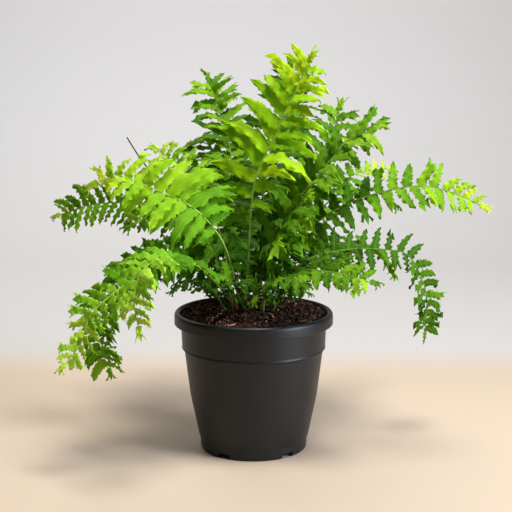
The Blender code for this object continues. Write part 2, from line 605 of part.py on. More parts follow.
def make_frond(frond, placed, draw):
    """One sheet, the rib with its leaflets cut from the same blade, thickened to a solid"""
    bm = bmesh.new()
    layer = bm.verts.layers.deform.verify()
    rows = []
    for index, (centre, ahead, right, up) in enumerate(frond.frames):
        half = STALK_WIDTH / 2 * frond.stalk_share(index)
        row = (bm.verts.new(centre - right * half), bm.verts.new(centre + right * half))
        for vert in row:
            vert[layer][0] = frond.stalk_share(index)
        rows.append(row)
    for low, high in zip(rows, rows[1:]):
        bm.faces.new((low[0], low[1], high[1]))
        bm.faces.new((low[0], high[1], high[0]))
    others = [slab for name, slab in placed if name != frond.name + " rib"]

    def add_blade(base, leaflet):
        """Adds the blade if it is clear of all that is there, and says whether it was"""
        slab = leaflet_slab((base[0].co, base[1].co), leaflet)
        if any(slab.meets(other) for other in others):
            return False
        ring = [base[0]] + [bm.verts.new(corner) for corner in leaflet.corners] + [base[1]]
        for vert in ring[1:-1]:
            vert[layer][0] = BLADE_THICK / STALK_THICK
        for triangle in fan(APEX[leaflet.outline] + 1, len(ring)):
            bm.faces.new([ring[corner] for corner in triangle])
        others.append(slab)
        placed.append((frond.name, slab))
        return True

    count = 0
    for index in range(frond.first_leaflet, frond.first_leaflet + 2 * frond.pairs):
        side = 1 if index % 2 else -1
        edge = 1 if side > 0 else 0
        base = (rows[index][edge], rows[index + 1][edge])
        chance = draw_chance(draw, frond)
        for give in GIVE_WAY:
            if add_blade(base, leaflet_on(frond, index, side, chance, give)):
                count += 1
                break
    if frond.pairs:
        chance = draw_chance(draw, frond)
        for shortened in TIP_TRIES:
            if add_blade(rows[-1], tip_on(frond, shortened, chance)):
                break
    bmesh.ops.recalc_face_normals(bm, faces=bm.faces)
    thing = object_from(bm, frond.name, frond.settings["tint"])
    thing.vertex_groups.new(name="thickness")
    modifier = thing.modifiers.new("Thickness", "SOLIDIFY")
    modifier.thickness = STALK_THICK
    modifier.offset = 0
    modifier.vertex_group = "thickness"
    modifier.use_even_offset = False
    return count


def main():
    clear_scene()
    fronds = [Frond(name, settings) for name, settings in FRONDS.items()]
    pot = make_pot()
    soil = make_soil(fronds)
    placed = [("pot", mesh_slab(pot)), ("soil", mesh_slab(soil))]
    for frond in fronds:
        placed += [(frond.name + " rib", slab) for slab in rib_slabs(frond)]
    draw = random.Random(SEED)
    for frond in fronds:
        made = make_frond(frond, placed, draw)
        print(frond.name, "leaflets", made, "of", 2 * frond.pairs)


main()
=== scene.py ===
import math
import random

import bmesh
import bpy
from mathutils import Matrix, Vector, noise
from mathutils.bvhtree import BVHTree


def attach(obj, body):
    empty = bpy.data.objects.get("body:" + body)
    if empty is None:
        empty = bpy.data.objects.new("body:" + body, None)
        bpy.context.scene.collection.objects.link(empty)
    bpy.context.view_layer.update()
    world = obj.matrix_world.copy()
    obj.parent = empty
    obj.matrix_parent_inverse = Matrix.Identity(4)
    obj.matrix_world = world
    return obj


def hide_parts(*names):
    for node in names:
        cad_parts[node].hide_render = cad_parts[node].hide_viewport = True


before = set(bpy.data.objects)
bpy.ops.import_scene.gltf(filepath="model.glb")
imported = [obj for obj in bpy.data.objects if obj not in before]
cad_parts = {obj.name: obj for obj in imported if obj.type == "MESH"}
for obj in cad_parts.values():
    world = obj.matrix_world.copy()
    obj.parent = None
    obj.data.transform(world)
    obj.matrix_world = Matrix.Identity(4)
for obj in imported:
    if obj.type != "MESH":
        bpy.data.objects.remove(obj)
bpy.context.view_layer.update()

mm = 0.001
body = "root"  # nothing on a potted plant moves, so every piece rides on the one body


# Small helpers

def hexColour(code):
    # sRGB hex to the linear colour that Blender's sockets take
    channels = [int(code[place:place + 2], 16) / 255 for place in (1, 3, 5)]
    linear = [c / 12.92 if c <= 0.04045 else ((c + 0.055) / 1.055) ** 2.4 for c in channels]
    return (*linear, 1.0)


def addNode(tree, kind, settings=None, links=None):
    # settings go to the node's own fields or to its sockets, and links join other nodes to it:
    # a node by itself stands for its first output
    node = tree.nodes.new("ShaderNode" + kind)
    for key, value in (settings or {}).items():
        if key == "stops":
            ramp = node.color_ramp
            while len(ramp.elements) < len(value):
                ramp.elements.new(0.5)
            for element, (place, code) in zip(ramp.elements, value):
                element.position = place
                element.color = hexColour(code)
        elif isinstance(key, int) or key in node.inputs:
            node.inputs[key].default_value = value
        else:
            setattr(node, key, value)
    for key, source in (links or {}).items():
        output = source.outputs[0] if isinstance(source, bpy.types.Node) else source
        tree.links.new(output, node.inputs[key])
    return node


def newMaterial(name, surface):
    material = bpy.data.materials.new(name)
    material.use_nodes = True
    tree = material.node_tree
    shader = tree.nodes["Principled BSDF"]
    for key, value in surface.items():
        shader.inputs[key].default_value = value
    return material, tree, shader


def smoothStep(low, high, value):
    share = min(1.0, max(0.0, (value - low) / (high - low)))
    return share * share * (3 - 2 * share)


def addPiece(bm, name, material, sharpAngle=None):
    mesh = bpy.data.meshes.new(name)
    bm.to_mesh(mesh)
    bm.free()
    piece = bpy.data.objects.new(name, mesh)
    bpy.context.scene.collection.objects.link(piece)
    mesh.materials.append(material)
    mesh.shade_smooth()
    if sharpAngle:
        mesh.set_sharp_from_angle(angle=math.radians(sharpAngle))
    return piece


# Camera: where the photo was taken from, straight in front and a little above the leaves

camera = dict(
    place=(0.0025, -1.300, 0.436),
    lookDown=9.9,  # degrees
    focalPixels=1240,  # in the photo's 512 pixel frame
    framePixels=512,
    sensor=36,
    clipStart=0.05,
)


def makeCamera():
    lens = bpy.data.cameras.new("photoCamera")
    lens.sensor_width = camera["sensor"]
    lens.lens = camera["focalPixels"] / camera["framePixels"] * camera["sensor"]
    lens.clip_start = camera["clipStart"]
    eye = bpy.data.objects.new("photoCamera", lens)
    eye.location = camera["place"]
    eye.rotation_euler = (math.radians(90 - camera["lookDown"]), 0, 0)
    bpy.context.scene.collection.objects.link(eye)
    bpy.context.scene.camera = eye


makeCamera()
print("camera set")


# Light: soft daylight from above, a window's glow on the right, a weak fill and a glow from behind

lights = {
    "skyLight": dict(
        place=(0.30, -0.45, 2.0), target=(0, 0, 0.25), size=0.60, spread=180, watts=43, colour="#FFFCF8"),
    "sideWindow": dict(
        place=(1.30, -0.70, 0.45), target=(0, 0, 0.10), size=0.45, spread=110, watts=9, colour="#E6EEFF"),
    "frontFill": dict(
        place=(0.9, -2.0, 1.1), target=(0, 0, 0.2), size=1.4, spread=180, watts=1.0, colour="#FFFDFA"),
    "backGlow": dict(
        place=(-0.5, 1.1, 1.5), target=(0, 0, 0.28), size=1.0, spread=180, watts=9, colour="#FFFDF8"),
}
skyGlow = dict(colour="#F6F6F8", strength=0.07)


def makeLights():
    for name, setting in lights.items():
        lamp = bpy.data.lights.new(name, "AREA")
        lamp.shape = "SQUARE"
        lamp.size = setting["size"]
        lamp.spread = math.radians(setting["spread"])
        lamp.energy = setting["watts"]
        lamp.color = hexColour(setting["colour"])[:3]
        holder = bpy.data.objects.new(name, lamp)
        holder.location = setting["place"]
        aim = Vector(setting["target"]) - Vector(setting["place"])
        holder.rotation_euler = aim.to_track_quat("-Z", "Y").to_euler()
        bpy.context.scene.collection.objects.link(holder)
    world = bpy.data.worlds.new("softRoom")
    world.use_nodes = True
    background = world.node_tree.nodes["Background"]
    background.inputs["Color"].default_value = hexColour(skyGlow["colour"])
    background.inputs["Strength"].default_value = skyGlow["strength"]
    bpy.context.scene.world = world
    bpy.context.scene.view_settings.view_transform = "Standard"


makeLights()
print("lights set")


# Stage: one plain pale sweep, floor and backdrop

sweep = dict(halfWidth=3.2, front=-2.6, back=1.6, coveRadius=0.5, height=3.0, coveSteps=10,
             floorEnd=0.30, wallStart=1.60,  # metres behind the pot, between which its colour changes
             stops=[(0.0, "#CDBAA4"), (0.10, "#CAC8C6"), (0.75, "#DAD9D8"), (1.0, "#E2E2E3")])


def makeSweep():
    material, tree, shader = newMaterial("matt painted floor", {"Roughness": 0.7})  # eggshell paint
    place = addNode(tree, "TexCoord")
    parts = addNode(tree, "SeparateXYZ", None, {0: place.outputs["Object"]})
    rise = addNode(tree, "MapRange", {"From Min": sweep["floorEnd"], "From Max": sweep["wallStart"]},
                   {"Value": parts.outputs["Y"]})
    colour = addNode(tree, "ValToRGB", {"stops": sweep["stops"]}, {"Fac": rise})
    tree.links.new(colour.outputs["Color"], shader.inputs["Base Color"])
    bm = bmesh.new()
    radius = sweep["coveRadius"]
    profile = [(sweep["front"], 0)]
    for step in range(sweep["coveSteps"] + 1):
        turn = math.pi / 2 * step / sweep["coveSteps"]
        profile.append((sweep["back"] - (1 - math.sin(turn)) * radius, (1 - math.cos(turn)) * radius))
    profile.append((sweep["back"], sweep["height"]))
    ends = (-sweep["halfWidth"], sweep["halfWidth"])
    rows = [[bm.verts.new((x, y, z)) for x in ends] for y, z in profile]
    for near, far in zip(rows, rows[1:]):
        bm.faces.new((near[0], near[1], far[1], far[0]))
    floor = addPiece(bm, "studioFloor", material, sharpAngle=40)


makeSweep()
print("stage set")


# Pot: injection-moulded black polypropylene, satin, with its rolled rim and drainage feet

pot = dict(
    sides=120,
    height=150, rim=85, rimDrop=13, mouth=78.5,
    bandTop=78, bandFoot=76.8, bandBase=110,
    bodyTop=74.6, bodyMiddle=68.6, middle=60, bodyFoot=59, footStep=13, foot=57.4, wall=1.6,
    notches=5, notchWidth=14, notchHeight=5.5, notchDepth=8, notchRound=1.2, firstNotch=-51,
    floorHole=5, floorHoleRing=34, sharpAngle=38,
    rimRound=4.6, rimSteps=9,  # the rim's rounded crest, and the steps it is drawn in
    cloudSize=55.6, grainSize=0.7, dustSize=1.6, ringGap=17.76,  # the skin's patterns
    ringShare=0.35,  # of the rings' relief to the grain's
    dustFrom=138, dustFull=151,  # the heights between which dust settles on the rim
    rimDust=0.55, faintDust=0.08,  # how thick it is on the rim, and everywhere
)


def polypropylene():
    # what gives it away: a satin skin with a soft broad shine, a fine grain from the mould,
    # faint rings where it was drawn off the core, and dust caught on the rim
    material, tree, shader = newMaterial(
        "moulded black polypropylene", {"IOR": 1.49, "Specular IOR Level": 0.40})
    place = addNode(tree, "TexCoord").outputs["Object"]
    cloud = addNode(tree, "TexNoise", {"Scale": 1 / (pot["cloudSize"] * mm), "Detail": 3.0},
                    {"Vector": place})
    grain = addNode(tree, "TexNoise", {"Scale": 1 / (pot["grainSize"] * mm), "Detail": 2.0},
                    {"Vector": place})  # coarser than the mould's own, which wouldn't show
    plastic = addNode(tree, "ValToRGB", {"stops": [(0.30, "#07080B"), (0.72, "#0E1115")]}, {"Fac": cloud})
    speckle = addNode(tree, "TexNoise", {
        "Scale": 1 / (pot["dustSize"] * mm), "Detail": 6.0, "Roughness": 0.75}, {"Vector": place})
    parts = addNode(tree, "SeparateXYZ", None, {0: place})
    nearRim = addNode(tree, "MapRange", {
        "From Min": pot["dustFrom"] * mm, "From Max": pot["dustFull"] * mm, "To Max": pot["rimDust"]},
        {"Value": parts.outputs["Z"]})
    dustSpots = addNode(tree, "MapRange", {"From Min": 0.56, "From Max": 0.70}, {"Value": speckle})
    dust = addNode(tree, "Math", {"operation": "MULTIPLY"}, {0: nearRim, 1: dustSpots})
    allDust = addNode(tree, "Math", {"operation": "MULTIPLY_ADD", 1: pot["faintDust"]},
                      {0: dustSpots, 2: dust})
    colour = addNode(tree, "Mix", {"data_type": "RGBA", 7: hexColour("#5A534C")},
                     {0: allDust, 6: plastic})
    tree.links.new(colour.outputs[2], shader.inputs["Base Color"])
    rough = addNode(tree, "MapRange", {"To Min": 0.40, "To Max": 0.50}, {"Value": cloud})
    tree.links.new(rough.outputs["Result"], shader.inputs["Roughness"])
    # the wave texture turns by 20 radians in one of its units
    rings = addNode(tree, "TexWave", {
        "bands_direction": "Z", "Scale": math.tau / 20 / (pot["ringGap"] * mm), "Distortion": 1.5,
        "Detail": 2.0}, {"Vector": place})
    height = addNode(tree, "Math", {"operation": "MULTIPLY_ADD", 1: pot["ringShare"]},
                     {0: rings.outputs["Fac"], 2: grain})
    bump = addNode(tree, "Bump", {"Strength": 0.22, "Distance": 0.12 * mm}, {"Height": height})
    tree.links.new(bump.outputs["Normal"], shader.inputs["Normal"])
    return material


def wallInside(height):
    # radius of the pot's inner wall in millimetres
    levels = ((0, pot["foot"]), (pot["footStep"], pot["bodyFoot"]), (pot["middle"], pot["bodyMiddle"]),
              (pot["bandBase"] - pot["wall"], pot["bodyTop"]),
              (pot["bandBase"] + pot["wall"], pot["bandFoot"]),
              (pot["height"] - pot["rimDrop"], pot["bandTop"]),
              (pot["height"] - 2, pot["mouth"] + pot["wall"]))
    for (low, insideLow), (high, insideHigh) in zip(levels, levels[1:]):
        if height <= high:
            return insideLow + (height - low) / (high - low) * (insideHigh - insideLow) - pot["wall"]
    return pot["mouth"]


def spunSolid(profile, sides):
    bm = bmesh.new()
    verts = [bm.verts.new((radius * mm, 0, height * mm)) for radius, height in profile]
    edges = [bm.edges.new(pair) for pair in zip(verts, verts[1:])]
    bmesh.ops.spin(bm, geom=verts + edges, cent=(0, 0, 0), axis=(0, 0, 1), angle=math.tau, steps=sides,
                   use_merge=True, use_duplicate=False)
    bmesh.ops.remove_doubles(bm, verts=bm.verts, dist=0.01 * mm)
    bmesh.ops.recalc_face_normals(bm, faces=bm.faces)
    return bm


def makePot():
    wall = pot["wall"]
    foot = pot["foot"]
    step = pot["footStep"]
    bodyFoot = pot["bodyFoot"]
    bodyTop = pot["bodyTop"]
    band = pot["bandBase"]
    bandFoot = pot["bandFoot"]
    mouth = pot["mouth"]
    rim = pot["rim"]
    top = pot["height"]
    skirt = top - pot["rimDrop"]
    crest = (rim + mouth) / 2
    shoulder = top - pot["rimRound"]
    # up the outside, the small steps round each edge as the mould does
    profile = [(0, 0), (foot - 3, 0), (foot - 1.4, 0.3), (foot - 0.4, 1.2), (foot, 2.8),
               (foot + 0.4, step - 1.4), (foot + 0.6, step - 0.6), (bodyFoot - 0.2, step - 0.1),
               (bodyFoot + 0.1, step + 0.6), (pot["bodyMiddle"], pot["middle"]),
               (bodyTop - 0.2, band - 2.4), (bodyTop, band - 0.9), (bodyTop + 0.5, band - 0.2),
               (bandFoot, band + 0.4), (bandFoot + 0.4, band + 0.9), (bandFoot + 0.4, band + 1.7),
               (bandFoot + 0.1, band + 2.3), (bandFoot + 0.15, band + 3.6),
               (pot["bandTop"] - 0.1, skirt - 2), (pot["bandTop"], skirt), (mouth + 0.9, top - 5),
               (crest - 1.4, top - 2.2), (rim - 3.2, top - 2.2), (rim - 2.1, top - 3.4),
               (rim - wall, skirt + 0.5), (rim - wall + 0.4, skirt), (rim - 0.4, skirt),
               (rim, skirt + 0.5), (rim, shoulder)]
    for number in range(1, pot["rimSteps"]):  # over the rim's crest and down into the mouth
        turn = math.pi * number / pot["rimSteps"]
        profile.append((crest + math.cos(turn) * (rim - crest),
                        shoulder + math.sin(turn) * pot["rimRound"]))
    profile += [(mouth, shoulder), (wallInside(skirt + 4), skirt + 3), (wallInside(skirt), skirt - 1)]
    profile += [(wallInside(height), height) for height in (band + wall, band - wall, pot["middle"], step)]
    profile += [(foot - wall, 4), (foot - wall - 2, wall), (0, wall)]
    piece = addPiece(spunSolid(profile, pot["sides"]), "nurseryPot", polypropylene())
    bm = bmesh.new()
    apart = math.tau / pot["notches"]
    notch = (2 * pot["notchDepth"] * mm, pot["notchWidth"] * mm, 2 * pot["notchHeight"] * mm, 1)
    hole = pot["floorHole"] * mm
    for index in range(pot["notches"]):  # each floor hole lies between two notches
        turn = math.radians(pot["firstNotch"]) + index * apart
        place = Matrix.Rotation(turn, 4, "Z") @ Matrix.Translation((foot * mm, 0, 0))
        made = bmesh.ops.create_cube(bm, size=1.0, matrix=place @ Matrix.Diagonal(notch))
        edges = list({edge for vert in made["verts"] for edge in vert.link_edges})
        bmesh.ops.bevel(bm, geom=edges, offset=pot["notchRound"] * mm, affect="EDGES", segments=3,
                        profile=0.5, material=-1)
        place = Matrix.Rotation(turn + apart / 2, 4, "Z")
        place = place @ Matrix.Translation((pot["floorHoleRing"] * mm, 0, 0))
        bmesh.ops.create_cone(bm, cap_ends=True, segments=32, radius1=hole, radius2=hole,
                              depth=4 * wall * mm, matrix=place)
    cutter = addPiece(bm, "drainageCutter", piece.data.materials[0])
    modifier = piece.modifiers.new("drainage", "BOOLEAN")
    modifier.object = cutter
    modifier.solver = "EXACT"
    bpy.context.view_layer.update()
    evaluated = piece.evaluated_get(bpy.context.evaluated_depsgraph_get())
    cutMesh = bpy.data.meshes.new_from_object(evaluated)
    piece.modifiers.clear()
    piece.data = cutMesh
    bpy.data.objects.remove(cutter, do_unlink=True)
    piece.data.shade_smooth()
    piece.data.set_sharp_from_angle(angle=math.radians(pot["sharpAngle"]))
    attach(piece, body)
    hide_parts("pot")


makePot()
print("pot made")


# Soil: peat and composted bark, a loose crumbly dome with chips lying on it

soil = dict(
    edge=146, crown=160, fit=0.3, rings=70, sides=180,
    lump=3.0, lumpSize=11, lumpNoise=(0.9, 2.1, 3),
    crumb=1.8, crumbSize=3.6, crumbNoise=(0.8, 2.2, 3),  # how fast finer noise fades, its step, octaves
    calm=0.5, calmFrom=0.9,  # beside the wall the surface is flatter
    edgeGap=3,  # between the soil's edge and the nearest crumb's middle
    crumbs=3800, crumbLow=1.3, crumbHigh=3.6, crumbTone=(0.0, 0.34),
    crumbWide=(0.7, 1.0), crumbThick=0.75,  # as shares of its length
    chips=420, chipLow=3.0, chipHigh=6.5, chipTone=(0.14, 0.50),
    chipWide=(0.3, 0.5), chipThick=0.28,
    tilt=0.6,  # radians that a crumb or chip leans at most
    standsOut=0.16,  # of its size, that its middle lies above the soil
    dent=0.10, dentSize=1.1, paleShare=0.05, paleTone=(0.45, 0.62),
    patchSize=10, patchShare=0.30, gritSize=1.5, gritShare=0.40,
    batch=120, seed=21,
)


def soilMaterial():
    # matt and broken, near black where it is damp, with tan bark edges and a few pale bits
    material, tree, shader = newMaterial(
        "peat and composted bark", {"Roughness": 0.9, "Specular IOR Level": 0.3})
    place = addNode(tree, "TexCoord").outputs["Object"]
    patches = addNode(tree, "TexNoise", {
        "Scale": 1 / (soil["patchSize"] * mm), "Detail": 5.0, "Roughness": 0.65}, {"Vector": place})
    grit = addNode(tree, "TexNoise", {"Scale": 1 / (soil["gritSize"] * mm), "Detail": 3.0},
                   {"Vector": place})
    tone = addNode(tree, "VertexColor", {"layer_name": "tone"})
    crumb = addNode(tree, "SeparateColor", None, {0: tone})
    patched = addNode(tree, "Math", {"operation": "MULTIPLY_ADD", 1: soil["patchShare"]},
                      {0: patches, 2: crumb})
    mixed = addNode(tree, "Math", {"operation": "MULTIPLY_ADD", 1: soil["gritShare"]},
                    {0: grit, 2: patched})
    ramp = addNode(tree, "ValToRGB", {"stops": [
        (0.22, "#0A0503"), (0.42, "#1F100A"), (0.60, "#432616"), (0.78, "#764C36"), (0.94, "#BE9074")]},
        {"Fac": mixed})
    tree.links.new(ramp.outputs["Color"], shader.inputs["Base Color"])
    bump = addNode(tree, "Bump", {"Strength": 0.8, "Distance": 0.6 * mm}, {"Height": grit})
    tree.links.new(bump.outputs["Normal"], shader.inputs["Normal"])
    return material


def soilHeight(x, y):
    # height of the crumbly surface above the floor, x, y and the result in metres
    radius = math.hypot(x, y)
    edge = (wallInside(soil["edge"]) - soil["fit"]) * mm
    share = min(1.0, radius / edge)
    dome = (soil["edge"] + (soil["crown"] - soil["edge"]) * (1 - share ** 2)) * mm
    spot = Vector((x, y, 0))
    lumps = noise.fractal(spot / (soil["lumpSize"] * mm), *soil["lumpNoise"])
    crumbs = noise.fractal(spot / (soil["crumbSize"] * mm), *soil["crumbNoise"])
    kept = 1 - soil["calm"] * smoothStep(soil["calmFrom"], 1.0, share)
    return dome + (lumps * soil["lump"] + crumbs * soil["crumb"]) * kept * mm


def setTone(verts, layer, value):
    for vert in verts:
        vert[layer] = value


def growCrumb(bm, toneLayer, kind, edge, draw):
    # a crumb or chip of random size and lean on the soil, dented by noise
    radius = (edge - soil["edgeGap"]) * math.sqrt(draw.random()) * mm
    angle = draw.uniform(0, math.tau)
    x, y = radius * math.cos(angle), radius * math.sin(angle)
    size = draw.uniform(soil[kind + "Low"], soil[kind + "High"])
    turn = Matrix.Rotation(draw.uniform(0, math.tau), 4, "Z")
    turn = turn @ Matrix.Rotation(draw.uniform(-soil["tilt"], soil["tilt"]), 4, "X")
    wide = draw.uniform(*soil["crumbWide"])
    if kind == "chip":
        wide = draw.uniform(*soil["chipWide"])
    form = Matrix.Diagonal((size, size * wide, size * soil[kind + "Thick"], 1))
    middle = Matrix.Translation((x, y, soilHeight(x, y) + size * soil["standsOut"] * mm))
    made = bmesh.ops.create_icosphere(bm, subdivisions=1, radius=0.5 * mm, matrix=middle @ turn @ form)
    for vert in made["verts"]:
        vert.co += noise.noise_vector(vert.co / (soil["dentSize"] * mm)) * size * soil["dent"] * mm
    tone = draw.uniform(*soil[kind + "Tone"])
    if draw.random() < soil["paleShare"]:
        tone = draw.uniform(*soil["paleTone"])
    setTone(made["verts"], toneLayer, (tone, 0, 0, 1))


def makeSoil():
    draw = random.Random(soil["seed"])
    noise.seed_set(soil["seed"])  # without it the dents would be others in each run
    fit = soil["fit"]
    edge = wallInside(soil["edge"]) - fit
    profile = [(0, pot["wall"] + fit), (pot["foot"] - pot["wall"] - 2 - fit, pot["wall"] + fit),
               (wallInside(pot["footStep"]) - 2 * fit, pot["footStep"]),
               (wallInside(pot["middle"]) - fit, pot["middle"])]
    heights = (pot["bandBase"] - pot["wall"], pot["bandBase"] + 2 * pot["wall"],
               pot["height"] - pot["rimDrop"], soil["edge"])
    profile += [(wallInside(height) - fit, height) for height in heights]
    profile += [(edge * (1 - step / soil["rings"]), soil["edge"]) for step in range(1, soil["rings"])]
    profile += [(0, soil["edge"])]
    bm = spunSolid(profile, soil["sides"])
    toneLayer = bm.verts.layers.float_color.new("tone")
    top = [vert for vert in bm.verts if vert.co.z > (soil["edge"] - 0.01) * mm]
    setTone(bm.verts, toneLayer, (0.0, 0, 0, 1))
    for vert in top:
        vert.co.z = soilHeight(vert.co.x, vert.co.y)
    # many small meshes are made quicker than a large one
    kinds = ["crumb"] * soil["crumbs"] + ["chip"] * soil["chips"]
    for first in range(0, len(kinds), soil["batch"]):
        batch = bmesh.new()
        batchTone = batch.verts.layers.float_color.new("tone")
        for kind in kinds[first:first + soil["batch"]]:
            growCrumb(batch, batchTone, kind, edge, draw)
        part = bpy.data.meshes.new("crumbs")
        batch.to_mesh(part)
        batch.free()
        bm.from_mesh(part)
        bpy.data.meshes.remove(part)
    piece = addPiece(bm, "peatSoil", soilMaterial(), sharpAngle=50)
    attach(piece, body)
    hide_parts("soil")


makeSoil()
print("soil made")


# Leaves: what they share, then one entry for each frond

leaf = dict(
    rootDepth=9, stalkStep=14, stalkRadius=1.1, tipRadius=0.5, bareRadius=0.8, stalkSides=8,
    ribPower=0.8,  # how the rib thins to its tip
    ribTop=0.72,  # of its radius, that its top rises, so that its upper side is flatter
    splineSteps=400, startSteps=4, tangentStep=2,  # startSteps gives the rib's direction in its hole
    tipLength=18, tipNeck=4, tipShare=0.5,  # the tip's blade has at most this share of the largest leaflet
    tipWidth=0.45, tipSpread=1.5, tipFork=0.5,
    closing=0.35,  # how much closer the leaflets stand at the tip than at the foot
    footShare=0.6, footGain=1.6,  # the first leaflet's share of the largest, how fast the next ones grow
    tipPower=1.2, widthLeft=0.35,  # how they shrink to the tip, and the least share of the width they keep
    thickness=0.32, alongSteps=14, acrossSteps=4, tipAcross=8,
    toothWidth=12,  # the blade width that the teeth are drawn for, those of a wider one are as large
    forkedShare=0.2, forkedGain=0.4,  # the share of forked leaflets at the rib's foot, its gain to the tip
    startHigh=0.3,  # of its bend, that an arching leaflet starts above its line
    ownWeight=0.9, faceWeight=0.35,  # how far it bends straight down, and away from its upper face
    leanGain=22,  # degrees that the leaflets at the tip lean forwards more than those at the foot
    clearance=0.85, footRoom=0.3, stalkRoom=0.45, testGrowth=1.04, footInset=0.05,
    slabRows=3,  # stretches of a rib that are tested as one piece
    seed=7,
)

# The random part of a leaflet: of its place, as shares and degrees, and then of its blade
placeChances = dict(length=(0.86, 1.14), lean=(-4, 14), raised=(-4, 16), twist=(-34, -6), bend=(30, 88),
                    sway=(-0.35, 0.35))
bladeChances = dict(phase=(0, math.tau), waves=(2.4, 4.2), ripple=(0.12, 0.26), curl=(-34, 34),
                    hook=(-0.3, 0.7), fork=(0.12, 0.30), spread=(1.0, 1.5), slant=(-0.10, 0.10),
                    taper=(1.9, 4.4))
toothDepth = (0.06, 0.13)
toothShare = (0.4, 1.0)

# Corners of a leaflet for the test that it is clear of its neighbours, as shares of its
# length and width, and the corner that the outline's triangles fan out from
bluntOutline = ((0.28, -0.50), (0.84, -0.36), (1.00, 0.12), (0.40, 0.50))
forkedOutline = ((0.32, -0.48), (1.00, -0.47), (0.78, 0.02), (0.98, 0.45), (0.34, 0.50))
fanCorner = {bluntOutline: 3, forkedOutline: 2}

# How a leaflet gives way to what is there: raised, turned about its rib, shortened
giveWay = (
    (0, 0, 1.0), (14, 0, 1.0), (-14, 0, 1.0), (0, 25, 1.0), (28, 0, 1.0), (-28, 0, 1.0),
    (14, 25, 0.9), (-14, 25, 0.9), (42, 10, 0.9), (-42, 10, 0.9), (0, 0, 0.7),
    (25, 30, 0.7), (-25, 30, 0.7), (58, 0, 0.75), (-58, 0, 0.75),
    (0, 0, 0.5), (35, 30, 0.5), (-35, 30, 0.5),
)

